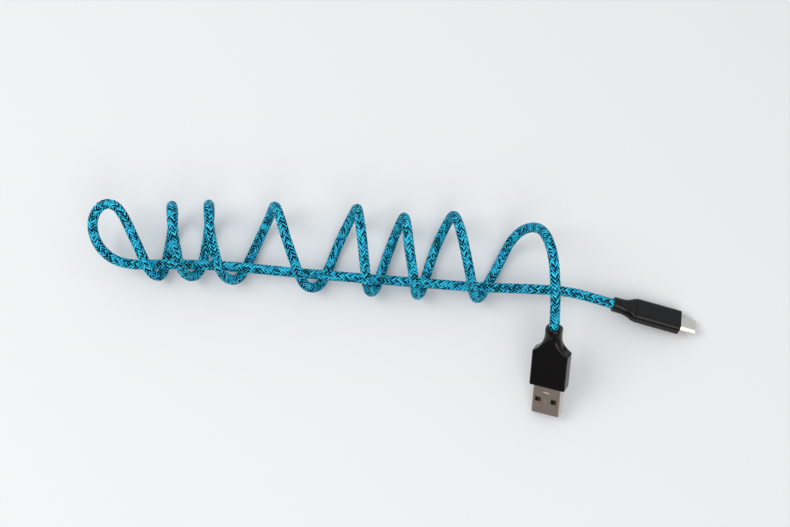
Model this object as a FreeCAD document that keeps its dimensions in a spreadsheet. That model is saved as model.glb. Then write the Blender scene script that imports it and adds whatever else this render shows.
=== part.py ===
import FreeCAD, Part
import math
import os
import Sketcher

doc = FreeCAD.newDocument("braided_cable")
V = FreeCAD.Vector

# Every size of the cable, in millimetres and degrees.
sheet = doc.addObject("Spreadsheet::Sheet", "sizes")
named = [
    ("cord_diameter", 4.1),
    ("cord_clearance", 0.1),
    ("seat_clearance", 0.05),
    ("cord_straight", 2.5),
    ("wire_diameter", 0.55),
    ("wire_straight", 1.9),
    ("lay_x", -89.0),
    ("lay_y", 40.655),
    # The wide plug: strain relief, housing, folded shell, tongue and its blades.
    ("wide_x", 62.6),
    ("wide_y", -32.65),
    ("wide_z", 27.83),
    ("wide_yaw", -92.7),
    ("wide_pitch", 39.4),
    ("wide_roll", 22.5),
    ("wide_neck_length", 11.0),
    ("wide_collar", 6.7),
    ("wide_body_length", 15.25),
    ("wide_body_width", 14.8),
    ("wide_body_height", 6.2),
    ("wide_body_radius", 0.7),
    ("wide_neck_inset", 0.05),
    ("wide_shoulder_step", 0.4),
    ("wide_mouth", 0.45),
    ("wide_lip", 0.35),
    ("wide_groove", 0.35),
    ("wide_front_edge", 0.35),
    ("wide_wall", 0.8),
    ("wide_shell_width", 12.0),
    ("wide_shell_height", 4.5),
    ("wide_shell_radius", 0.7),
    ("wide_shell_wall", 0.3),
    ("wide_shell_out", 12.65),
    ("wide_shell_in", 6.7),
    ("wide_window_long", 2.1),
    ("wide_window_broad", 2.4),
    ("wide_window_apart", 6.6),
    ("wide_window_back", 6.2),
    ("wide_seam", 0.12),
    ("wide_seam_over", 1.0),
    ("wide_dimple_broad", 2.8),
    ("wide_dimple_long", 0.5),
    ("wide_dimple_deep", 0.12),
    ("wide_dimple_back", 2.2),
    ("wide_block_slack", 0.15),
    ("wide_block_length", 7.5),
    ("wide_tongue_root", 0.5),
    ("wide_tongue_top", 0.1),
    ("wide_tongue_back", 0.7),
    ("wide_blade_width", 1.0),
    ("wide_blade_thick", 0.25),
    ("wide_blade_proud", 0.05),
    ("wide_blade_tail", 1.6),
    ("wide_blade_inner", 1.0),
    ("wide_blade_outer", 3.5),
    ("wide_blade_front", 1.6),
    ("wide_blade_late", 1.0),
    # The small plug: strain relief, housing, stamped shell, tongue, blades and the latch spring.
    ("small_x", 89.35),
    ("small_y", -18.75),
    ("small_z", 7.35),
    ("small_yaw", -14.5),
    ("small_pitch", 6.6),
    ("small_roll", -25.4),
    ("small_neck_length", 9.5),
    ("small_collar", 5.9),
    ("small_body_length", 19.3),
    ("small_body_width", 10.45),
    ("small_body_height", 5.7),
    ("small_body_radius", 2.2),
    ("small_neck_inset", 0.2),
    ("small_flange", 0.9),
    ("small_mouth", 0.3),
    ("small_lip", 0.35),
    ("small_groove", 0.35),
    ("small_front_edge", 0.4),
    ("small_wall", 0.8),
    ("small_shell_width", 6.85),
    ("small_shell_top", 5.1),
    ("small_shell_height", 1.8),
    ("small_shell_side", 0.9),
    ("small_shell_wall", 0.25),
    ("small_shell_out", 6.7),
    ("small_shell_in", 4.6),
    ("small_block_width", 4.6),
    ("small_block_length", 2.4),
    ("small_block_under", 0.15),
    ("small_tongue_width", 3.3),
    ("small_tongue_start", 1.2),
    ("small_tongue_back", 0.6),
    ("small_blade_pitch", 0.65),
    ("small_blade_width", 0.3),
    ("small_blade_thick", 0.16),
    ("small_blade_proud", 0.06),
    ("small_blade_tail", 1.2),
    ("small_blade_front", 1.0),
    ("latch_thick", 0.2),
    ("latch_width", 0.7),
    ("latch_apart", 4.6),
    ("latch_bar_start", 0.2),
    ("latch_bar_long", 0.7),
    ("latch_front", 1.7),
    ("latch_tooth_long", 1.4),
    ("latch_tooth_tip", 0.5),
    ("latch_tooth_out", 0.45),
    ("latch_slot_gap", 0.1),
]
for row, (alias, number) in enumerate(named, 1):
    sheet.set("A%d" % row, alias)
    sheet.set("B%d" % row, str(number))
    sheet.setAlias("B%d" % row, alias)
doc.recompute()


def size(name):
    return float(sheet.get(name))


def link(text):
    # Puts the sheet's name before each alias in a formula.
    words = []
    for word in text.split():
        words.append("sizes." + word if word[0].isalpha() else word)
    return " ".join(words)


def number(text):
    # Works out a formula of plain sums and products of aliases, from left to right by rank.
    terms = []
    sign = 1.0
    product = None
    operator = "*"
    for word in text.split():
        if word in "+-" and product is not None:
            terms.append(sign * product)
            sign = 1.0 if word == "+" else -1.0
            product = None
            operator = "*"
        elif word in "*/":
            operator = word
        else:
            value = size(word) if word[0].isalpha() else float(word)
            if product is None:
                product = value
            elif operator == "*":
                product = product * value
            else:
                product = product / value
    terms.append(sign * product)
    return sum(terms)


def pose(side):
    base = V(size(side + "_x") + size("lay_x"), size(side + "_y") + size("lay_y"), size(side + "_z"))
    turn = FreeCAD.Rotation(size(side + "_yaw"), size(side + "_pitch"), size(side + "_roll"))
    return FreeCAD.Placement(base, turn)


wide = pose("wide")
small = pose("small")
nodes = []


def keep(thing, label):
    thing.Label = label
    nodes.append(thing)
    return thing


def new_body(label):
    body = doc.addObject("PartDesign::Body", label + "_body")
    return body


def across(body, name, along):
    # A sketch across the plug's axis, at a distance along it from the cord's mouth.
    sketch = body.newObject("Sketcher::SketchObject", name)
    plane = [f for f in body.Origin.OriginFeatures if f.Role == "YZ_Plane"][0]
    sketch.AttachmentSupport = [(plane, "")]
    sketch.MapMode = "FlatFace"
    sketch.setExpression("AttachmentOffset.Base.z", link(along))
    return sketch


def bind(sketch, constraint, formula):
    index = sketch.addConstraint(constraint)
    sketch.setExpression("Constraints[%d]" % index, link(formula))


def rounded(sketch, width, height, radius):
    w = number(width) / 2
    h = number(height) / 2
    r = number(radius)
    corners = [(w - r, r - h, -90), (w - r, h - r, 0), (r - w, h - r, 90), (r - w, r - h, 180)]
    starts = [V(r - w, -h), V(w, r - h), V(w - r, h), V(-w, h - r)]
    ends = [V(w - r, -h), V(w, h - r), V(r - w, h), V(-w, r - h)]
    for (cx, cy, angle), start, end in zip(corners, starts, ends):
        sketch.addGeometry(Part.LineSegment(start, end), False)
        circle = Part.Circle(V(cx, cy), V(0, 0, 1), r)
        low = math.radians(angle)
        sketch.addGeometry(Part.ArcOfCircle(circle, low, low + math.pi / 2), False)
    for i in range(8):
        sketch.addConstraint(Sketcher.Constraint("Tangent", i, 2, (i + 1) % 8, 1))
    for i in (3, 5, 7):
        sketch.addConstraint(Sketcher.Constraint("Equal", 1, i))
    for i in (0, 4):
        sketch.addConstraint(Sketcher.Constraint("Horizontal", i))
    for i in (2, 6):
        sketch.addConstraint(Sketcher.Constraint("Vertical", i))
    sketch.addConstraint(Sketcher.Constraint("Symmetric", 0, 1, 4, 1, -1, 1))
    bind(sketch, Sketcher.Constraint("DistanceX", 6, 1, 2, 1, 2 * w), width)
    bind(sketch, Sketcher.Constraint("DistanceY", 0, 1, 4, 1, 2 * h), height)
    bind(sketch, Sketcher.Constraint("Radius", 1, r), radius)


def chamfered(sketch, width, top, half_height, side):
    # Wide flat base, upright sides, two slanted shoulders and a narrower flat top.
    w = number(width) / 2
    t = number(top) / 2
    h = number(half_height)
    s = number(side)
    points = [V(-w, -h), V(w, -h), V(w, s - h), V(t, h), V(-t, h), V(-w, s - h)]
    for i in range(6):
        sketch.addGeometry(Part.LineSegment(points[i], points[(i + 1) % 6]), False)
    for i in range(6):
        sketch.addConstraint(Sketcher.Constraint("Coincident", i, 2, (i + 1) % 6, 1))
    for low, high in ((0, 1), (5, 2), (4, 3)):
        sketch.addConstraint(Sketcher.Constraint("Symmetric", low, 1, high, 1, -2))
    sketch.addConstraint(Sketcher.Constraint("Vertical", 1))
    bind(sketch, Sketcher.Constraint("DistanceX", 0, 1, 1, 1, 2 * w), width)
    bind(sketch, Sketcher.Constraint("DistanceX", 4, 1, 3, 1, 2 * t), top)
    bind(sketch, Sketcher.Constraint("DistanceY", 0, 1, -1, 1, h), half_height)
    bind(sketch, Sketcher.Constraint("DistanceY", -1, 1, 4, 1, h), half_height)
    bind(sketch, Sketcher.Constraint("DistanceY", 1, 1, 2, 1, s), side)


def pad(body, sketch, length):
    feature = body.newObject("PartDesign::Pad", "pad")
    feature.Profile = sketch
    feature.setExpression("Length", link(length))
    sketch.Visibility = False
    doc.recompute()
    return feature


def pocket(body, sketch, length):
    # Cuts toward the plug's nose.
    before = body.Shape.Volume
    feature = body.newObject("PartDesign::Pocket", "pocket")
    feature.Profile = sketch
    feature.setExpression("Length", link(length))
    feature.Reversed = True
    sketch.Visibility = False
    doc.recompute()
    assert body.Shape.Volume < before - 1e-6, "a pocket missed " + body.Name
    return feature


def rim(body, along, kind, amount, least=0.0, most=1000.0):
    # Rounds or bevels the edges that lie in one plane across the axis, between two distances from it.
    x = number(along)
    found = []
    for index, edge in enumerate(body.Tip.Shape.Edges, 1):
        ends = [v.Point.x for v in edge.Vertexes] + [edge.CenterOfMass.x]
        far = max(math.hypot(v.Point.y, v.Point.z) for v in edge.Vertexes)
        if max(abs(e - x) for e in ends) < 1e-4 and least < far < most:
            found.append("Edge%d" % index)
    feature = body.newObject("PartDesign::" + kind, kind.lower())
    feature.Base = (body.Tip if body.Tip != feature else feature.BaseFeature, found)
    feature.setExpression("Radius" if kind == "Fillet" else "Size", link(amount))
    doc.recompute()
    return feature


def box(label, plug, corner, lengths):
    block = doc.addObject("Part::Box", label)
    for name, formula in zip(("Length", "Width", "Height"), lengths):
        block.setExpression(name, link(formula))
    at = V(*[number(c) for c in corner])
    block.Placement = plug.multiply(FreeCAD.Placement(at, FreeCAD.Rotation()))
    return block


def cut(label, base, tools):
    group = doc.addObject("Part::Compound", label + "_tools")
    group.Links = tools
    result = doc.addObject("Part::Cut", label)
    result.Base = base
    result.Tool = group
    doc.recompute()
    return result


def tube(label, points, diameter):
    # A round tube along straight runs joined by arcs that touch both runs.
    arc_share = 0.45
    edges = []
    radii = []
    start = points[0]
    for a, b, c in zip(points, points[1:], points[2:]):
        u = b - a
        v = c - b
        turn = u.getAngle(v)
        reach = arc_share * min(u.Length, v.Length)
        u.normalize()
        v.normalize()
        radius = reach / math.tan(turn / 2)
        inward = v - u
        inward.normalize()
        centre = b + inward * (radius / math.cos(turn / 2))
        first = b - u * reach
        last = b + v * reach
        edges.append(Part.LineSegment(start, first).toShape())
        edges.append(Part.Arc(first, centre - inward * radius, last).toShape())
        radii.append(radius)
        start = last
    edges.append(Part.LineSegment(start, points[-1]).toShape())
    path = Part.Wire(edges)
    ring = Part.Wire([Part.Circle(points[0], points[1] - points[0], diameter / 2).toShape()])
    thing = doc.addObject("Part::Feature", label)
    thing.Shape = path.makePipeShell([ring], True, False)
    section = math.pi * diameter ** 2 / 4
    print(label, "length %.1f" % path.Length, "tightest %.1f" % min(radii), end=" ")
    print("volume over section x length %.4f" % (thing.Shape.Volume / section / path.Length))
    return thing


# The cord's route as it lies on the table. The straight run comes back from the small plug
# through the middle of its own winding, the open loop at the far end turns it round, and the
# last arch stands up and comes down into the wide plug.
run = [
    (83.4, -17.1, 8.0), (72.5, -14.0, 8.4), (60.0, -12.7, 7.9), (45.0, -12.1, 7.1),
    (28.0, -11.2, 6.8), (10.0, -9.7, 6.8), (-10.0, -8.1, 6.8), (-30.0, -6.4, 6.8),
    (-50.0, -4.6, 6.8), (-68.0, -2.7, 6.8), (-85.0, -1.9, 6.9), (-99.0, -1.9, 7.1),
]
open_loop = [
    (-108.0, -2.4, 8.0), (-115.6, -1.3, 10.0), (-121.4, 3.0, 12.9), (-124.4, 9.4, 16.0),
    (-123.8, 15.9, 19.0), (-119.4, 20.4, 21.3), (-113.8, 19.2, 22.0), (-110.2, 13.9, 20.8),
    (-107.5, 8.0, 18.3), (-105.0, 2.6, 15.6), (-102.7, -2.6, 12.8), (-100.7, -6.3, 9.9),
]
arch = [
    (40.7, -5.4, 2.1), (43.2, -0.8, 2.2), (45.6, 4.0, 3.4), (48.2, 8.3, 6.8), (51.6, 10.9, 12.6),
    (55.8, 10.6, 20.6), (58.5, 7.2, 28.6), (60.0, 2.2, 35.0), (61.0, -3.6, 39.3),
    (61.6, -9.6, 41.0), (62.0, -15.6, 39.9), (62.3, -21.6, 36.7), (62.6, -27.4, 32.2),
]
# One row for each turn of the winding: where it comes round the front of the run, passes under
# it, turns up at the back, tops out and comes over it again, then how deep and how far in front.
turns = [
    (-98.3, -95.9, -92.0, -89.1, -87.8, 20.4, 5.2),
    (-84.5, -80.5, -76.8, -74.4, -71.8, 20.9, 5.3),
    (-67.4, -62.1, -49.9, -44.2, -39.2, 20.1, 5.9),
    (-34.1, -28.6, -15.9, -13.4, -12.0, 19.1, 6.0),
    (-10.1, -6.7, 3.5, 5.5, 7.6, 15.4, 5.7),
    (9.1, 12.0, 23.6, 27.6, 31.0, 16.1, 5.4),
    (33.7, 37.9, 0.0, 0.0, 0.0, 0.0, 4.9),
]


def between(a, b, share):
    return a + (b - a) * share


def run_y(x):
    for (x1, y1, z1), (x2, y2, z2) in zip(run, run[1:]):
        if x >= x2:
            return between(y1, y2, (x - x1) / (x2 - x1))
    return run[-1][1]


winding = []
back_radius = 12.9
back_z = 14.7
middle_in = 12.2
front_in = 16.2
front_z = 6.4
dip_y = 2.0
dip_z = 2.9
over_z = 22.7
fall_z = 16.8
near_z = 11.2
rest_z = size("cord_diameter") / 2
for turn, following in zip(turns, turns[1:] + [None]):
    front_x, under_x, back_x, top_x, over_x, back_y, gap = turn
    front_y = run_y(front_x) - gap
    winding.append((front_x, front_y, front_z))
    winding.append((between(front_x, under_x, 0.5), front_y + dip_y, dip_z))
    winding.append((under_x, run_y(under_x) + dip_y, rest_z))
    if following is None:
        break
    middle = back_y - middle_in
    for degrees, share in ((-80, 0.4), (-50, 0.66), (-20, 0.88), (10, 1.0)):
        y = middle + back_radius * math.cos(math.radians(degrees))
        z = max(rest_z, back_z + back_radius * math.sin(math.radians(degrees)))
        winding.append((between(under_x, back_x, share), y, z))
    for degrees, share in ((42, 0.3), (74, 0.66), (106, 1.02)):
        y = middle + back_radius * math.cos(math.radians(degrees))
        z = back_z + back_radius * math.sin(math.radians(degrees))
        winding.append((between(back_x, top_x, share), y, z))
    front_y = run_y(following[0]) - following[6]
    inner_y = back_y - front_in
    winding.append((between(top_x, over_x, 0.55), between(front_y, inner_y, 0.58), over_z))
    winding.append((over_x, between(front_y, inner_y, 0.2), fall_z))
    winding.append((between(over_x, following[0], 0.42), front_y, near_z))

lay = V(size("lay_x"), size("lay_y"), 0)
inside = V(size("cord_straight"), 0, 0)
route = [small.multVec(V(size("small_neck_length"), 0, 0)), small.multVec(inside)]
route += [V(*p) + lay for p in run + open_loop + winding + arch]
route += [wide.multVec(inside), wide.multVec(V(size("wide_neck_length"), 0, 0))]
keep(tube("cord", route, size("cord_diameter")), "braided_cord")


def neck(side, sections, ring, label):
    # Moulded strain relief: a round collar that flares out to the housing and ends in a plain ring.
    body = new_body(label)
    sketches = []
    for index, (along, broad, tall, radius) in enumerate(sections):
        sketch = across(body, "%s_ring%d" % (side, index), along)
        rounded(sketch, broad, tall, radius)
        sketch.Visibility = False
        sketches.append(sketch)
    doc.recompute()
    loft = body.newObject("PartDesign::AdditiveLoft", "flare")
    loft.Profile = sketches[0]
    loft.Sections = sketches[1:]
    doc.recompute()
    length, broad, tall = ring
    outline = across(body, side + "_ring_outline", side + "_neck_length - " + length)
    rounded(outline, broad, tall, side + "_body_radius")
    pad(body, outline, length)
    mouth = side + "_neck_length * 0"
    hole_radius = "cord_diameter / 2 + cord_clearance"
    hole = across(body, side + "_hole", mouth)
    hole.addGeometry(Part.Circle(V(0, 0, 0), V(0, 0, 1), number(hole_radius)), False)
    hole.addConstraint(Sketcher.Constraint("Coincident", 0, 3, -1, 1))
    bind(hole, Sketcher.Constraint("Radius", 0, number(hole_radius)), hole_radius)
    pocket(body, hole, side + "_neck_length")
    rim(body, mouth, "Chamfer", side + "_mouth", most=number(hole_radius + " + cord_clearance"))
    bevel = hole_radius + " + cord_clearance + " + side + "_mouth"
    rim(body, mouth, "Fillet", side + "_lip", least=number(bevel))
    body.Placement = wide if side == "wide" else small
    return keep(body, label)


def housing(side, label, make_hole, groove):
    # Outer sleeve: a rounded bar, hollow behind for the inner mould and open in front for the shell.
    body = new_body(label)
    outline = across(body, side + "_outline", side + "_neck_length")
    rounded(outline, side + "_body_width", side + "_body_height", side + "_body_radius")
    pad(body, outline, side + "_body_length")
    rim(body, side + "_neck_length + " + side + "_body_length", "Fillet", side + "_front_edge")
    if groove:
        rim(body, side + "_neck_length", "Chamfer", groove)
    cavity = across(body, side + "_cavity", side + "_neck_length")
    wall = "_body_%s - " + side + "_wall * 2"
    rounded(cavity, side + wall % "width", side + wall % "height", side + "_body_radius * 0.8")
    pocket(body, cavity, side + "_body_length - " + side + "_shell_in")
    inner = side + "_neck_length + " + side + "_body_length - " + side + "_shell_in"
    hole = across(body, side + "_opening", inner)
    make_hole(hole)
    pocket(body, hole, side + "_shell_in")
    body.Placement = wide if side == "wide" else small
    return keep(body, label)


def mould(side, label, tools):
    # Inner mould that holds the solder joints behind the shell, cast around wires and tails.
    body = new_body(label)
    outline = across(body, side + "_mould", side + "_neck_length")
    wall = "_body_%s - " + side + "_wall * 2 - seat_clearance * 2"
    rounded(outline, side + wall % "width", side + wall % "height", side + "_body_radius * 0.8")
    pad(body, outline, side + "_body_length - " + side + "_shell_in")
    body.Placement = wide if side == "wide" else small
    return keep(cut(label + "_cast", body, tools), label)


# Wide plug. Its strain relief flares into shoulders as broad as the housing.
wide_share = "wide_neck_length * %s - wide_groove * %s"
wide_shoulder = "wide_body_width * %s - wide_shoulder_step * 2"
wide_tall = "wide_body_height - wide_neck_inset * 2"
neck("wide", [
    (wide_share % ("0", "0"), "wide_collar", "wide_collar", "wide_collar * 0.46"),
    (wide_share % ("0.32", "0.32"), "wide_collar * 1.02", "wide_collar", "wide_collar * 0.45"),
    (wide_share % ("0.56", "0.56"), "wide_collar * 1.12", wide_tall, "wide_body_height * 0.4"),
    (wide_share % ("0.77", "0.77"), wide_shoulder % "0.68", wide_tall, "wide_body_radius * 2"),
    (wide_share % ("0.91", "0.91"), wide_shoulder % "0.84", wide_tall, "wide_body_radius * 1.3"),
    (wide_share % ("1", "1"), wide_shoulder % "1", wide_tall, "wide_body_radius"),
], ("wide_groove", "wide_body_width - wide_shoulder_step * 4", wide_tall), "wide_strain_relief")


def wide_mouth(sketch):
    rounded(sketch, "wide_shell_width + seat_clearance * 2", "wide_shell_height + seat_clearance * 2",
            "wide_shell_radius + seat_clearance")


housing("wide", "wide_housing", wide_mouth, None)
wide_front = "wide_neck_length + wide_body_length"
wide_rear = wide_front + " - wide_shell_in"
wide_tip = wide_front + " + wide_shell_out"
wide_long = "wide_shell_in + wide_shell_out"

# Folded steel shell with a latch window pair on each broad face, a stamped dimple and a seam.
shell_body = new_body("wide_shell")
sketch = across(shell_body, "wide_shell_outline", wide_rear)
rounded(sketch, "wide_shell_width", "wide_shell_height", "wide_shell_radius")
pad(shell_body, sketch, wide_long)
rim(shell_body, wide_tip, "Chamfer", "wide_shell_wall * 0.5")
sketch = across(shell_body, "wide_shell_hollow", wide_rear)
hollow = "wide_shell_%s - wide_shell_wall * 2"
rounded(sketch, hollow % "width", hollow % "height", "wide_shell_radius - wide_shell_wall")
pocket(shell_body, sketch, wide_long)
shell_body.Placement = wide
tools = []
for name, up in (("top", "1"), ("under", "-1")):
    for way in ("0.5", "-0.5"):
        tools.append(box("wide_window_" + name, wide, (
            wide_front + " + wide_window_back - wide_window_long / 2",
            "wide_window_apart * " + way + " - wide_window_broad / 2",
            "wide_shell_height * 0.5 * " + up + " - wide_shell_wall * 1.5",
        ), ("wide_window_long", "wide_window_broad", "wide_shell_wall * 3")))
tools.append(box("wide_seam_cut", wide, (
    wide_rear + " - wide_seam_over", "wide_seam * -0.5", "wide_shell_height * -0.5 - wide_shell_wall",
), (wide_long + " + wide_seam_over * 2", "wide_seam", "wide_shell_wall * 2.5")))
tools.append(box("wide_dimple", wide, (
    wide_front + " + wide_dimple_back", "wide_dimple_broad * -0.5",
    "wide_shell_height / 2 - wide_dimple_deep",
), ("wide_dimple_long", "wide_dimple_broad", "wide_dimple_deep * 2")))
keep(cut("wide_shell_cut", shell_body, tools), "wide_shell")

# Moulded tongue with its rear block, and four blades let into it.
blade_names = ("power", "data_minus", "data_plus", "ground")
blade_sides = ("wide_blade_outer * -1", "wide_blade_inner * -1",
               "wide_blade_inner * 1", "wide_blade_outer * 1")
blades = []
for name, side in zip(blade_names, blade_sides):
    late = "0" if "outer" in side else "1"
    blade = box("wide_blade_" + name, wide, (
        wide_rear + " - wide_blade_tail", side + " - wide_blade_width / 2",
        "wide_blade_proud - wide_tongue_top - wide_blade_thick",
    ), (wide_long + " + wide_blade_tail - wide_blade_front - wide_blade_late * " + late,
        "wide_blade_width", "wide_blade_thick"))
    blades.append(keep(blade, "wide_contact_" + name))
slack = "wide_shell_%s - wide_shell_wall * 2 - wide_block_slack * 2"
block = box("wide_block_box", wide, (
    wide_rear, "wide_shell_width * -0.5 + wide_shell_wall + wide_block_slack",
    "wide_shell_height * -0.5 + wide_shell_wall + wide_block_slack",
), ("wide_block_length", slack % "width", slack % "height"))
tongue = box("wide_tongue_box", wide, (
    wide_rear + " + wide_block_length - wide_tongue_root",
    "wide_shell_width * -0.5 + wide_shell_wall + wide_block_slack",
    "wide_shell_height * -0.5 + wide_shell_wall + wide_block_slack",
), (wide_long + " - wide_block_length + wide_tongue_root - wide_tongue_back", slack % "width",
    "wide_shell_height / 2 - wide_shell_wall - wide_block_slack - wide_tongue_top"))
joined = doc.addObject("Part::Fuse", "wide_tongue_joined")
joined.Base = block
joined.Tool = tongue
keep(cut("wide_tongue_cut", joined, blades), "wide_tongue")


def wires(side, plug, ends, along, level, label):
    # Four insulated wires fan out from the cord's end to the tails of their blades.
    made = []
    starts = ((-0.85, 0.35), (-0.36, -0.75), (0.36, -0.75), (0.85, 0.35))
    first = size(side + "_neck_length")
    last = number(along)
    straight = size("wire_straight")
    for name, (y, z), end in zip(blade_names, starts, ends):
        points = [V(first, y, z), V(first + straight, y, z),
                  V(last - straight, end, level), V(last, end, level)]
        wire = tube(side + "_wire_" + name, [plug.multVec(p) for p in points], size("wire_diameter"))
        made.append(keep(wire, label + name))
    return made


level = number("wide_blade_proud - wide_tongue_top - wide_blade_thick / 2")
wide_wires = wires("wide", wide, [number(s) for s in blade_sides], wide_rear + " - wide_blade_tail",
                   level, "wide_wire_")
mould("wide", "wide_inner_mould", wide_wires + blades)

# Small plug. Narrow face up, with its spring latch below.
small_share = "small_neck_length * %s - small_flange * %s"
small_broad = "small_body_width * %s - small_neck_inset * 2"
small_tall = "small_body_height - small_neck_inset * 2"
neck("small", [
    (small_share % ("0", "0"), "small_collar", "small_collar", "small_collar * 0.46"),
    (small_share % ("0.36", "0.36"), "small_collar * 1.02", "small_collar", "small_collar * 0.45"),
    (small_share % ("0.65", "0.65"), "small_collar * 1.2", small_tall, "small_collar * 0.43"),
    (small_share % ("0.84", "0.84"), small_broad % "0.83", small_tall, "small_body_radius * 1.08"),
    (small_share % ("1", "1"), small_broad % "0.98", small_tall, "small_body_radius"),
], ("small_flange", small_broad % "1", small_tall), "micro_strain_relief")


def small_mouth(sketch):
    chamfered(sketch, "small_shell_width + seat_clearance * 2", "small_shell_top + seat_clearance * 2",
              "small_shell_height / 2 + seat_clearance", "small_shell_side + seat_clearance")


housing("small", "micro_housing", small_mouth, "small_groove")
small_front = "small_neck_length + small_body_length"
small_rear = small_front + " - small_shell_in"
small_tip = small_front + " + small_shell_out"
small_long = "small_shell_in + small_shell_out"

# Stamped shell: flat wide underside with two latch slots, slanted shoulders, narrow top.
shell_body = new_body("micro_shell")
sketch = across(shell_body, "small_shell_outline", small_rear)
chamfered(sketch, "small_shell_width", "small_shell_top", "small_shell_height / 2", "small_shell_side")
pad(shell_body, sketch, small_long)
sketch = across(shell_body, "small_shell_hollow", small_rear)
chamfered(sketch, "small_shell_width - small_shell_wall * 2", "small_shell_top - small_shell_wall",
          "small_shell_height / 2 - small_shell_wall", "small_shell_side - small_shell_wall")
pocket(shell_body, sketch, small_long)
shell_body.Placement = small
tools = []
for way in ("0.5", "-0.5"):
    tools.append(box("latch_slot", small, (
        small_tip + " - latch_front - latch_tooth_long - latch_slot_gap * 2",
        "latch_apart * " + way + " - latch_width / 2 - latch_slot_gap",
        "small_shell_height * -0.5 - small_shell_wall",
    ), ("latch_tooth_long + latch_slot_gap * 4", "latch_width + latch_slot_gap * 2",
        "small_shell_wall * 2.2")))
keep(cut("small_shell_cut", shell_body, tools), "micro_shell")

# Moulded tongue and block with five fine blades.
pin_names = ("power", "data_minus", "data_plus", "sense", "ground")
pins = []
for index, name in enumerate(pin_names):
    pin = box("small_blade_" + name, small, (
        small_rear + " - small_blade_tail",
        "small_blade_pitch * %d - small_blade_width / 2" % (index - 2),
        "small_blade_proud - small_blade_thick",
    ), (small_long + " + small_blade_tail - small_blade_front", "small_blade_width", "small_blade_thick"))
    pins.append(keep(pin, "micro_contact_" + name))
block = box("small_block_box", small, (
    small_rear, "small_block_width * -0.5", "small_block_under * -1",
), ("small_block_length", "small_block_width",
    "small_shell_height / 2 - small_shell_wall - seat_clearance + small_block_under"))
tongue = box("small_tongue_box", small, (
    small_rear + " + small_tongue_start", "small_tongue_width * -0.5",
    "small_shell_height * -0.5 + small_shell_wall + seat_clearance",
), (small_long + " - small_tongue_start - small_tongue_back", "small_tongue_width",
    "small_shell_height / 2 - small_shell_wall - seat_clearance"))
joined = doc.addObject("Part::Fuse", "small_tongue_joined")
joined.Base = block
joined.Tool = tongue
keep(cut("small_tongue_cut", joined, pins), "micro_tongue")

# Latch spring: a cross bar held under the block, two arms and a hooked tooth on each.
latch_floor = "small_shell_height * -0.5 + small_shell_wall + seat_clearance"
pieces = [box("latch_bar", small, (
    small_rear + " + latch_bar_start", "latch_apart * -0.5 - latch_width / 2", latch_floor,
), ("latch_bar_long", "latch_apart + latch_width", "latch_thick"))]
for way in ("0.5", "-0.5"):
    pieces.append(box("latch_arm", small, (
        small_rear + " + latch_bar_start", "latch_apart * " + way + " - latch_width / 2", latch_floor,
    ), (small_long + " - latch_bar_start - latch_front", "latch_width", "latch_thick")))
    tooth = doc.addObject("Part::Wedge", "latch_tooth")
    deep = "small_shell_wall + seat_clearance + latch_tooth_out"
    for name, formula in (
        ("Xmin", "latch_width * 0"), ("Xmax", "latch_tooth_long"), ("X2min", "latch_width * 0"),
        ("X2max", "latch_tooth_tip"), ("Zmin", "latch_width * 0"), ("Zmax", "latch_width"),
        ("Z2min", "latch_width * 0"), ("Z2max", "latch_width"), ("Ymin", "latch_width * 0"), ("Ymax", deep),
    ):
        tooth.setExpression(name, link(formula))
    at = V(number(small_tip + " - latch_front - latch_tooth_long"),
           number("latch_apart * " + way + " - latch_width / 2"), number(latch_floor))
    downward = FreeCAD.Rotation(V(1, 0, 0), -90)
    tooth.Placement = small.multiply(FreeCAD.Placement(at, downward))
    pieces.append(tooth)
spring = doc.addObject("Part::MultiFuse", "latch_joined")
spring.Shapes = pieces
doc.recompute()
keep(spring, "micro_latch_spring")

pin_ends = [size("small_blade_pitch") * step for step in (-2, -1, 0, 2)]
level = number("small_blade_proud - small_blade_thick / 2")
small_wires = wires("small", small, pin_ends, small_rear + " - small_blade_tail", level, "micro_wire_")
mould("small", "micro_inner_mould", small_wires + pins)

# Where the latch turns, for the record.
hinge = V(number(small_rear + " + latch_bar_start + latch_bar_long / 2"), 0,
          number(latch_floor + " + latch_thick / 2"))
print("latch hinge", small.multVec(hinge), "axis", small.Rotation.multVec(V(0, -1, 0)))
print("wide nose", wide.multVec(V(number(wide_tip), 0, 0)), wide.Rotation.multVec(V(1, 0, 0)))
print("small nose", small.multVec(V(number(small_tip), 0, 0)), small.Rotation.multVec(V(1, 0, 0)))

doc.recompute()
os.makedirs("parts", exist_ok=True)
for thing in doc.Objects:
    if "Invalid" in thing.State or "Error" in thing.State:
        raise RuntimeError("broken: " + thing.Name)
low = V(1e9, 1e9, 1e9)
high = V(-1e9, -1e9, -1e9)
for thing in nodes:
    shape = thing.Shape
    if shape.isNull() or not shape.isValid() or len(shape.Solids) != 1:
        raise RuntimeError("bad solid: " + thing.Label + " %d" % len(shape.Solids))
    bounds = shape.optimalBoundingBox(False, False)
    print("%-26s volume %9.3f  z %.2f to %.2f" % (thing.Label, shape.Volume, bounds.ZMin, bounds.ZMax))
    if thing.Label != "braided_cord":
        low = V(min(low.x, bounds.XMin), min(low.y, bounds.YMin), min(low.z, bounds.ZMin))
        high = V(max(high.x, bounds.XMax), max(high.y, bounds.YMax), max(high.z, bounds.ZMax))
    shape.exportStep("parts/" + thing.Label + ".step")
print("plugs from", low, "to", high, "middle", (low + high) * 0.5)
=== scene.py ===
import math

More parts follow.
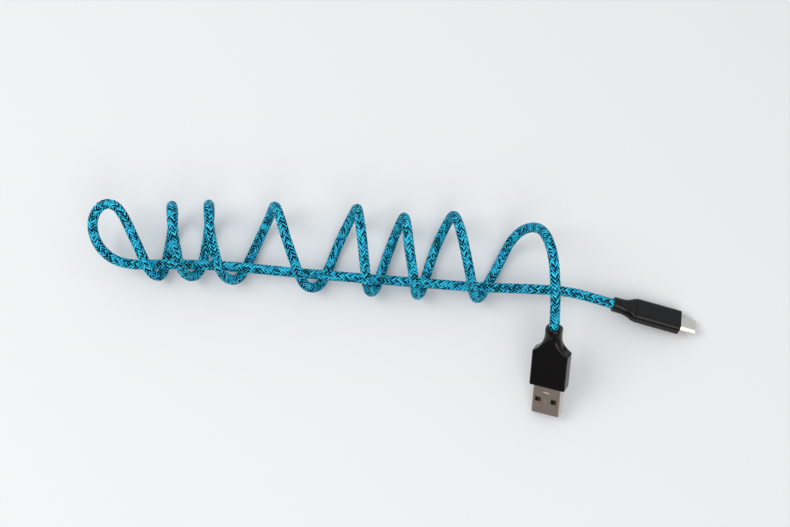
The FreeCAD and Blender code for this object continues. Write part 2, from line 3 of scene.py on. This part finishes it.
import bpy
import mathutils
import numpy
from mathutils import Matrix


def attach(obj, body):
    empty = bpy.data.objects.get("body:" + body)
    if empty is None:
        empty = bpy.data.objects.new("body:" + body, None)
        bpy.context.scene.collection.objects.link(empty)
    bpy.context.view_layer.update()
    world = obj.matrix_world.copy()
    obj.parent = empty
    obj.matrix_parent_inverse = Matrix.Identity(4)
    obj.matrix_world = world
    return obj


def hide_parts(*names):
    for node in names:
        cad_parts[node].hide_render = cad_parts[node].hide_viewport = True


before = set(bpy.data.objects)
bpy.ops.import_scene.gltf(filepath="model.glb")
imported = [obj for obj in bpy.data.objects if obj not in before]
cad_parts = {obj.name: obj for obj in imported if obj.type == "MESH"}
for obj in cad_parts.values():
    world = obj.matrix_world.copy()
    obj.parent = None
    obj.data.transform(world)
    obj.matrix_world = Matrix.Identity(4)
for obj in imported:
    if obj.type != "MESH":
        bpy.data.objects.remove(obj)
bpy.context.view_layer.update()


# The cord's route over the table, as it was wound and put down: from the small plug straight back through
# the middle of its own winding, round the open loop, back over that run in turns, up the last arch and
# down into the wide plug. Places are in millimetres, and LAY moves them into the part's frame.
MM = 0.001
CORD_DIAMETER = 4.1
LAY = mathutils.Vector((-89.0, 40.655, 0.0))
WIDE_NECK = 11.0
SMALL_NECK = 9.5
STRAIGHT = 2.5


def plug_place(base, yaw, pitch, roll):
    turn = mathutils.Euler([math.radians(angle) for angle in (roll, pitch, yaw)], "XYZ")
    return mathutils.Matrix.LocRotScale(mathutils.Vector(base) + LAY, turn, None)


wide_plug = plug_place((62.6, -32.65, 27.83), -92.7, 39.4, 22.5)
small_plug = plug_place((89.35, -18.75, 7.35), -14.5, 6.6, -25.4)
run = [
    (83.4, -17.1, 8.0), (72.5, -14.0, 8.4), (60.0, -12.7, 7.9), (45.0, -12.1, 7.1),
    (28.0, -11.2, 6.8), (10.0, -9.7, 6.8), (-10.0, -8.1, 6.8), (-30.0, -6.4, 6.8),
    (-50.0, -4.6, 6.8), (-68.0, -2.7, 6.8), (-85.0, -1.9, 6.9), (-99.0, -1.9, 7.1),
]
open_loop = [
    (-108.0, -2.4, 8.0), (-115.6, -1.3, 10.0), (-121.4, 3.0, 12.9), (-124.4, 9.4, 16.0),
    (-123.8, 15.9, 19.0), (-119.4, 20.4, 21.3), (-113.8, 19.2, 22.0), (-110.2, 13.9, 20.8),
    (-107.5, 8.0, 18.3), (-105.0, 2.6, 15.6), (-102.7, -2.6, 12.8), (-100.7, -6.3, 9.9),
]
arch = [
    (40.7, -5.4, 2.1), (43.2, -0.8, 2.2), (45.6, 4.0, 3.4), (48.2, 8.3, 6.8), (51.6, 10.9, 12.6),
    (55.8, 10.6, 20.6), (58.5, 7.2, 28.6), (60.0, 2.2, 35.0), (61.0, -3.6, 39.3),
    (61.6, -9.6, 41.0), (62.0, -15.6, 39.9), (62.3, -21.6, 36.7), (62.6, -27.4, 32.2),
]
# One row for each turn: where it comes round the front of the run, passes under it, turns up at the
# back, tops out and comes over it again, then how deep it reaches and how far in front of the run.
turns = [
    (-98.3, -95.9, -92.0, -89.1, -87.8, 20.4, 5.2),
    (-84.5, -80.5, -76.8, -74.4, -71.8, 20.9, 5.3),
    (-67.4, -62.1, -49.9, -44.2, -39.2, 20.1, 5.9),
    (-34.1, -28.6, -15.9, -13.4, -12.0, 19.1, 6.0),
    (-10.1, -6.7, 3.5, 5.5, 7.6, 15.4, 5.7),
    (9.1, 12.0, 23.6, 27.6, 31.0, 16.1, 5.4),
    (33.7, 37.9, 0.0, 0.0, 0.0, 0.0, 4.9),
]


def between(a, b, share):
    return a + (b - a) * share


def run_y(x):
    for (x1, y1, _), (x2, y2, _) in zip(run, run[1:]):
        if x >= x2:
            return between(y1, y2, (x - x1) / (x2 - x1))
    return run[-1][1]


# Each turn follows a circle at its back, given by angles and by shares of the way along the run.
back_radius = 12.9
back_z = 14.7
up_the_back = ((-80, 0.4), (-50, 0.66), (-20, 0.88), (10, 1.0))
over_the_top = ((42, 0.3), (74, 0.66), (106, 1.02))
middle_in = 12.2
front_in = 16.2
front_z = 6.4
dip_share = 0.5
dip_y = 2.0
dip_z = 2.9
over_share = 0.55
over_depth = 0.58
over_z = 22.7
fall_depth = 0.2
fall_z = 16.8
near_share = 0.42
near_z = 11.2
rest_z = CORD_DIAMETER / 2
winding = []
for turn, following in zip(turns, turns[1:] + [None]):
    front_x, under_x, back_x, top_x, over_x, back_y, gap = turn
    front_y = run_y(front_x) - gap
    winding.append((front_x, front_y, front_z))
    winding.append((between(front_x, under_x, dip_share), front_y + dip_y, dip_z))
    winding.append((under_x, run_y(under_x) + dip_y, rest_z))
    if following is None:
        break
    middle = back_y - middle_in
    for bend, from_x, to_x in ((up_the_back, under_x, back_x), (over_the_top, back_x, top_x)):
        for degrees, share in bend:
            y = middle + back_radius * math.cos(math.radians(degrees))
            z = max(rest_z, back_z + back_radius * math.sin(math.radians(degrees)))
            winding.append((between(from_x, to_x, share), y, z))
    next_x = following[0]
    next_y = run_y(next_x) - following[-1]
    inner_y = back_y - front_in
    winding.append((between(top_x, over_x, over_share), between(next_y, inner_y, over_depth), over_z))
    winding.append((over_x, between(next_y, inner_y, fall_depth), fall_z))
    winding.append((between(over_x, next_x, near_share), next_y, near_z))

route = [small_plug @ mathutils.Vector((along, 0, 0)) for along in (SMALL_NECK, STRAIGHT)]
route += [mathutils.Vector(place) + LAY for place in run + open_loop + winding + arch]
route += [wide_plug @ mathutils.Vector((along, 0, 0)) for along in (STRAIGHT, WIDE_NECK)]

line = bpy.data.curves.new("route", "CURVE")
line.dimensions = "3D"
spline = line.splines.new("NURBS")
spline.points.add(len(route) - 1)
for point, place in zip(spline.points, route):
    point.co = (*place * MM, 1.0)
spline.order_u = 3
spline.use_endpoint_u = True
spline.resolution_u = 16
guide = bpy.data.objects.new("route", line)
bpy.context.collection.objects.link(guide)
traced = bpy.data.meshes.new_from_object(guide)
drawn = numpy.array([vertex.co for vertex in traced.vertices])
bpy.data.objects.remove(guide)

# Even steps along that line, each with two directions across it that turn with it and never twist.
STEP = 0.5 * MM
stretches = numpy.linalg.norm(numpy.diff(drawn, axis=0), axis=1)
drawn_at = numpy.concatenate([[0.0], numpy.cumsum(stretches)])
cord_length = drawn_at[-1]
along = numpy.linspace(0.0, cord_length, int(cord_length / STEP) + 1)
centre = numpy.stack([numpy.interp(along, drawn_at, drawn[:, axis]) for axis in range(3)], axis=1)
forward = numpy.gradient(centre, axis=0)
forward /= numpy.linalg.norm(forward, axis=1)[:, None]
side = numpy.zeros_like(centre)
side[0] = numpy.cross(forward[0], (0.0, 0.0, 1.0))
side[0] /= numpy.linalg.norm(side[0])
for index in range(1, len(centre)):
    carried = side[index - 1] - forward[index] * (side[index - 1] @ forward[index])
    side[index] = carried / numpy.linalg.norm(carried)
rise = numpy.cross(forward, side)


# The inside of the cord: four insulated conductors under a drain foil, which show through the braid only
# as a dark floor between the yarns. One plain tube, just smaller than the braid that is plaited over it.
class Wired:
    """A socket of a material. Sums and products of sockets add Math nodes to its tree."""

    def __init__(self, tree, socket=None):
        self.tree = tree
        self.socket = socket

    def node(self, kind, settings, inputs, output=0):
        made = self.tree.nodes.new(kind)
        for name, value in settings.items():
            setattr(made, name, value)
        for name, value in inputs.items():
            if isinstance(value, Wired):
                self.tree.links.new(value.socket, made.inputs[name])
            else:
                made.inputs[name].default_value = value
        return Wired(self.tree, made.outputs[output])

    def maths(self, operation, first, second):
        return self.node("ShaderNodeMath", {"operation": operation}, {0: first, 1: second})

    def __add__(self, other):
        return self.maths("ADD", self, other)

    def __radd__(self, other):
        return self.maths("ADD", other, self)

    def __sub__(self, other):
        return self.maths("SUBTRACT", self, other)

    def __rsub__(self, other):
        return self.maths("SUBTRACT", other, self)

    def __mul__(self, other):
        return self.maths("MULTIPLY", self, other)

    def __rmul__(self, other):
        return self.maths("MULTIPLY", other, self)

    def noise(self, scale, detail=3.0):
        return self.node("ShaderNodeTexNoise", {}, {"Vector": self, "Scale": scale, "Detail": detail})

    def blend(self, dark, light):
        mix = {"data_type": "RGBA"}
        return self.node("ShaderNodeMix", mix, {0: self, 6: (*dark, 1.0), 7: (*light, 1.0)}, 2)

    def bump(self, strength, distance):
        return self.node("ShaderNodeBump", {}, {"Height": self, "Strength": strength, "Distance": distance})

    def feed(self, shader, name):
        self.tree.links.new(self.socket, shader.inputs[name])


def new_material(name, roughness=0.5, metallic=0.0):
    material = bpy.data.materials.new(name)
    material.use_nodes = True
    shader = material.node_tree.nodes["Principled BSDF"]
    shader.inputs["Roughness"].default_value = roughness
    shader.inputs["Metallic"].default_value = metallic
    return material, shader


def place_on(material):
    return Wired(material.node_tree).node("ShaderNodeTexCoord", {}, {}, "Object")


def mottled(name, dark, light, grain, roughness, metallic=0.0):
    material, shader = new_material(name, roughness, metallic)
    place_on(material).noise(grain).blend(dark, light).feed(shader, "Base Color")
    return material


def mesh_piece(name, corners, faces, material):
    mesh = bpy.data.meshes.new(name)
    mesh.from_pydata(corners, [], faces)
    mesh.polygons.foreach_set("use_smooth", [True] * len(mesh.polygons))
    mesh.materials.append(material)
    piece = bpy.data.objects.new(name, mesh)
    bpy.context.collection.objects.link(piece)
    return piece


drain_foil = mottled("drain_foil", (0.001, 0.010, 0.014), (0.003, 0.022, 0.030), grain=900, roughness=0.7)
CORE_RADIUS = 1.56 * MM
CORE_SIDES = 12
CORE_STEPS = 2
rings = range(0, len(centre), CORE_STEPS)
corners = []
for ring in rings:
    for corner in range(CORE_SIDES):
        angle = 2 * math.pi * corner / CORE_SIDES
        outward = side[ring] * math.cos(angle) + rise[ring] * math.sin(angle)
        corners.append(centre[ring] + CORE_RADIUS * outward)
faces = []
for ring in range(len(rings) - 1):
    for corner in range(CORE_SIDES):
        beside = (corner + 1) % CORE_SIDES
        low = ring * CORE_SIDES
        high = low + CORE_SIDES
        faces.append((low + corner, low + beside, high + beside, high + corner))
faces.append(tuple(reversed(range(CORE_SIDES))))
faces.append(tuple(range(len(corners) - CORE_SIDES, len(corners))))
core = mesh_piece("cord_core", corners, faces, drain_foil)
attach(core, "cable")
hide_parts("braided_cord")


# The braid: eight carriers wind one way and eight the other, each over two and under two, so that the
# floats stand in columns of slanted dashes. A carrier lays down a cyan and a black end of polyester yarn
# side by side. They roll over each other as they come off the bobbin, so the black end shows unevenly.
CARRIERS = 8
LEAD = 12.3 * MM
BRAID_RADIUS = 1.84 * MM
BRAID_SWING = 0.14 * MM
DIVE_SHARPNESS = 2.2
FIRST_DIVE = math.pi / 4
COLUMN_TURN = -math.pi * 11 / 16
# A yarn's section gives each corner's share of the way across and its height in millimetres. The roll
# lengths, one for each carrier, are in millimetres too.
YARN_SECTION = ((0.04, -0.12), (0.22, 0.03), (0.5, 0.10), (0.78, 0.03), (0.96, -0.12))
BLACK_SHARE = 0.45
ROLL_SHARE = 0.36
ROLL_OFFSET = 2.4
ROLL_LENGTHS = (4.1, 6.3, 4.7, 7.1, 5.3, 6.7, 4.4, 5.9)


def lay_yarn(bundle, way, carrier, start, breadth):
    corners, faces, lay = bundle
    count = len(along)
    first = count * len(corners)
    for edge, crown in YARN_SECTION:
        across = way * (start + edge * breadth - 0.5)
        angle = 2 * math.pi * ((carrier + across) / CARRIERS + way * along / LEAD)
        over = way * numpy.tanh(DIVE_SHARPNESS * numpy.cos(CARRIERS / 2 * angle - FIRST_DIVE))
        reach = (BRAID_RADIUS + BRAID_SWING * over + crown * MM)[:, None]
        lean = (angle + COLUMN_TURN)[:, None]
        corners.append(centre + reach * (side * numpy.cos(lean) + rise * numpy.sin(lean)))
        lay.append(numpy.stack([along / MM, numpy.full(count, edge), numpy.full(count, carrier)], axis=1))
    for lane in range(len(YARN_SECTION) - 1):
        low = first + lane * count + numpy.arange(count - 1)
        high = low + count
        quad = (low, high, high + 1, low + 1)
        faces.append(numpy.stack(quad[::way], axis=1))


yarns = {}
for hand, way in (("right", 1), ("left", -1)):
    for carrier, roll_length in enumerate(ROLL_LENGTHS[::way]):
        roll = 2 * math.pi * along / (roll_length * MM) + ROLL_OFFSET * carrier
        black_share = BLACK_SHARE + ROLL_SHARE * numpy.sin(roll)
        cyan_share = 1.0 - black_share
        for colour, start, breadth in (("cyan", 0.0, cyan_share), ("black", cyan_share, black_share)):
            bundle = yarns.setdefault((colour, hand), ([], [], []))
            lay_yarn(bundle, way, carrier, start, breadth)

# Fine fibres run along each yarn, each float is a little lighter or darker than the next, and each yarn
# carries painted shade toward its edges, where the crevices between the yarns are.
FIBRE_SCALE = (0.6, 11.0, 3.7)
FLOAT_SCALE = (0.42, 0.9, 5.3)
CONTRAST = 2.6
DIMMING = 1.86
EDGE_PAINTED_SHADE = 2.0
FIBRE_RELIEF = 0.10 * MM


def yarn_finish(name, dark, light, roughness, gloss):
    material, shader = new_material(name, roughness)
    named = {"attribute_name": "yarn_lay"}
    lay = Wired(material.node_tree).node("ShaderNodeAttribute", named, {}, "Vector")
    fibres = lay.node("ShaderNodeMapping", {}, {"Vector": lay, "Scale": FIBRE_SCALE}).noise(1.0, 4.0)
    shade = lay.node("ShaderNodeMapping", {}, {"Vector": lay, "Scale": FLOAT_SCALE}).noise(1.0, 1.0)
    from_middle = lay.node("ShaderNodeSeparateXYZ", {}, {"Vector": lay}, "Y") - 0.5
    # Painted shade: the yarn's colour darkens toward its edges and is lightest along its middle.
    painted_edge_shade = EDGE_PAINTED_SHADE * from_middle * from_middle
    tone_and_painted_shade = (CONTRAST * (fibres + shade) - DIMMING) * (1.0 - painted_edge_shade)
    tone_and_painted_shade.blend(dark, light).feed(shader, "Base Color")
    fibres.bump(0.8, FIBRE_RELIEF).feed(shader, "Normal")
    shader.inputs["Specular IOR Level"].default_value = gloss
    return material


yarn_finishes = {
    "cyan": yarn_finish("cyan_yarn", (0.0, 0.27, 0.68), (0.018, 0.75, 1.0), roughness=0.28, gloss=0.45),
    "black": yarn_finish("black_yarn", (0.0, 0.001, 0.002), (0.0005, 0.004, 0.007),
                         roughness=0.6, gloss=0.03),
}
for (colour, hand), (corners, faces, lay) in yarns.items():
    name = "%s_yarns_%s" % (colour, hand)
    strands = mesh_piece(name, numpy.concatenate(corners).tolist(), numpy.concatenate(faces).tolist(),
                         yarn_finishes[colour])
    yarn_lay = strands.data.attributes.new("yarn_lay", "FLOAT_VECTOR", "POINT")
    yarn_lay.data.foreach_set("vector", numpy.concatenate(lay).ravel())
    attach(strands, "cable")


# Black moulded plastic of both plugs' strain reliefs and housings, shot over the inner moulds. It has the
# fine spark-eroded grain that such tools leave, and a slightly uneven sheen.
MOULDING_GLOSS = 0.26
GRAIN_RELIEF = 0.03 * MM
black_moulding, shader = new_material("black_moulding")
shader.inputs["Specular IOR Level"].default_value = MOULDING_GLOSS
place = place_on(black_moulding)
place.noise(300).blend((0.0020, 0.0020, 0.0026), (0.0042, 0.0042, 0.0050)).feed(shader, "Base Color")
(0.15 + 0.12 * place.noise(700)).feed(shader, "Roughness")
place.noise(5200, 2.0).bump(0.2, GRAIN_RELIEF).feed(shader, "Normal")


def dress(material, *nodes):
    for node in nodes:
        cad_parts[node].data.materials.clear()
        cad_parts[node].data.materials.append(material)


dress(black_moulding, "wide_strain_relief", "wide_housing", "micro_strain_relief", "micro_housing")


# Plated steel: both shells are folded from strip, so the rolling marks run along the plug. The small
# plug's latch spring is cut from the same strip.
STREAK = (8.0 * MM, 1.0 * MM, 1.0 * MM)


def steel_finish(name, plug):
    material, shader = new_material(name, metallic=1.0)
    place = place_on(material)
    local = place.node("ShaderNodeMapping", {"vector_type": "TEXTURE"}, {
        "Vector": place, "Location": plug.translation * MM, "Rotation": plug.to_euler(), "Scale": STREAK})
    local.noise(1.6, 4.0).blend((0.60, 0.555, 0.515), (0.75, 0.705, 0.665)).feed(shader, "Base Color")
    (0.17 + 0.14 * local.noise(2.4)).feed(shader, "Roughness")
    return material


dress(steel_finish("wide_plug_steel", wide_plug), "wide_shell")
dress(steel_finish("small_plug_steel", small_plug), "micro_shell", "micro_latch_spring")

# Inside the plugs: dark glass-filled tongues, gold-plated contact blades, the pale inner moulds cast
# round the solder joints, and four coloured wires.
tongue_plastic = mottled("tongue_plastic", (0.016, 0.016, 0.012), (0.034, 0.034, 0.026),
                         grain=900, roughness=0.55)
contact_gold = mottled("contact_gold", (0.72, 0.50, 0.18), (0.86, 0.64, 0.28),
                       grain=1500, roughness=0.25, metallic=1.0)
inner_plastic = mottled("inner_mould", (0.52, 0.52, 0.46), (0.62, 0.62, 0.57), grain=500, roughness=0.6)
dress(tongue_plastic, "wide_tongue", "micro_tongue")
dress(contact_gold, *[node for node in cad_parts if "_contact_" in node])
dress(inner_plastic, "wide_inner_mould", "micro_inner_mould")
WIRE_COLOURS = {
    "power": (0.50, 0.02, 0.015),
    "data_minus": (0.70, 0.70, 0.68),
    "data_plus": (0.02, 0.26, 0.04),
    "ground": (0.012, 0.012, 0.012),
}
LIGHTER = 1.25
for wire, colour in WIRE_COLOURS.items():
    lighter = [min(1.0, LIGHTER * part) for part in colour]
    insulation = mottled("insulation_" + wire, colour, lighter, grain=800, roughness=0.35)
    dress(insulation, "wide_wire_" + wire, "micro_wire_" + wire)

# The table that the cable lies on: white laminate with a dull finish, far wider than the picture, so
# that no edge of it shows.
TABLE_BREADTH = 6.0
bpy.ops.object.select_all(action="DESELECT")
bpy.ops.mesh.primitive_plane_add(size=TABLE_BREADTH)
table = bpy.context.active_object
table.name = "table"
table_top, shader = new_material("table_top", roughness=0.6)
shader.inputs["Base Color"].default_value = (0.76, 0.79, 0.82, 1.0)
shader.inputs["Specular IOR Level"].default_value = 0.2
table.data.materials.append(table_top)

# Soft studio light: a broad lamp high at the left and a weaker one in front, under a sky that is bright
# overhead, behind and at the right, and dimmer and warmer toward the front.
LAMP_BREADTH = 0.8
for name, stand, power in (("key", (-0.95, 0.10, 1.1), 7.4), ("front", (0.06, -0.80, 1.0), 4.8)):
    lamp = bpy.data.lights.new(name, "AREA")
    lamp.size = LAMP_BREADTH
    lamp.energy = power
    lamp_object = bpy.data.objects.new(name, lamp)
    lamp_object.location = stand
    lamp_object.rotation_euler = (LAY * MM - lamp_object.location).to_track_quat("-Z", "Y").to_euler()
    bpy.context.collection.objects.link(lamp_object)
SKY_LEVEL = 0.37
FROM_BEHIND = 0.22
FROM_ABOVE = 0.49
FROM_RIGHT = 0.15
WARM = (1.0, 0.84, 0.74)
COOL = (0.90, 0.97, 1.0)
world = bpy.data.worlds.new("studio")
world.use_nodes = True
background = world.node_tree.nodes["Background"]
sky = Wired(world.node_tree).node("ShaderNodeTexCoord", {}, {}, "Generated")
right, back, up = [sky.node("ShaderNodeSeparateXYZ", {}, {"Vector": sky}, axis) for axis in "XYZ"]
(SKY_LEVEL + FROM_BEHIND * back + FROM_ABOVE * up + FROM_RIGHT * right).feed(background, "Strength")
(0.5 + 0.5 * back).blend(WARM, COOL).feed(background, "Color")
bpy.context.scene.world = world
bpy.context.scene.view_settings.view_transform = "Standard"

# The camera has a lens of about sixty millimetres. It hangs half a metre above the winding, a little in
# front of it, and looks down fourteen degrees off plumb.
CAMERA_STAND = mathutils.Vector((-0.21, -135.27, 543.37))
CAMERA_TILT = 14.0
camera = bpy.data.cameras.new("camera")
camera.sensor_width = 36.0
camera.lens = 60.73
camera_object = bpy.data.objects.new("camera", camera)
camera_object.location = (LAY + CAMERA_STAND) * MM
camera_object.rotation_euler = (math.radians(CAMERA_TILT), 0.0, 0.0)
bpy.context.collection.objects.link(camera_object)
bpy.context.scene.camera = camera_object
